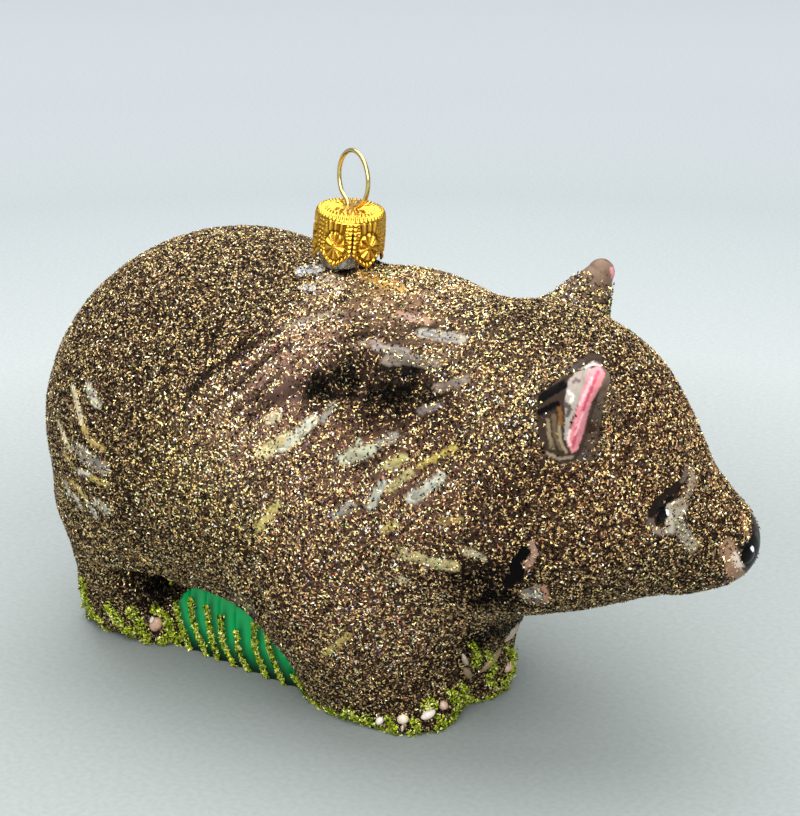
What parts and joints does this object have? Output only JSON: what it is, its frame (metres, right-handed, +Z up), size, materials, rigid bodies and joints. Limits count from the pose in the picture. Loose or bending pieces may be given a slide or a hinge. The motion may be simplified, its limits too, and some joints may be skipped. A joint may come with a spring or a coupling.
{
  "type": "wombat hanging ornament",
  "caption": "Mouth-blown glass tree ornament shaped as a standing wombat on grass, coated in brown glitter, with a stamped metal cap and a wire hanging loop.",
  "frame": {"origin": "centre of the bounding box seen from above, at the level the feet stand on", "axes": "+X forward along the body, towards the nose; +Y to the wombat's left; +Z up, towards the hanging loop"},
  "size_m": [0.1096, 0.0608, 0.0813],
  "materials": {
    "glitter_coat": "brown lacquer on blown glass under dense brown and gold glitter grains",
    "ear_lacquer": "grey-brown lacquer with a pink painted inner ear on blown glass",
    "black_lacquer": "gloss black lacquer on blown glass",
    "green_lacquer": "gloss emerald green lacquer on blown glass, with lime glitter strokes",
    "clear_glass": "silvered clear glass neck",
    "gold_cap": "stamped thin metal, gold coloured, bright",
    "brass_wire": "drawn wire, pale gold, bright"
  },
  "bodies": {
    "root": {"torso": "glitter_coat", "head": "glitter_coat", "ear_left": "ear_lacquer", "ear_right": "ear_lacquer", "eye_left": "black_lacquer", "eye_right": "black_lacquer", "nose": "black_lacquer", "leg_front_left": "glitter_coat", "leg_front_right": "glitter_coat", "leg_hind_left": "glitter_coat", "leg_hind_right": "glitter_coat", "grass_ground": "green_lacquer", "glass_neck": "clear_glass", "cap": "gold_cap", "hanging_loop": "brass_wire"}
  },
  "joints": []
}
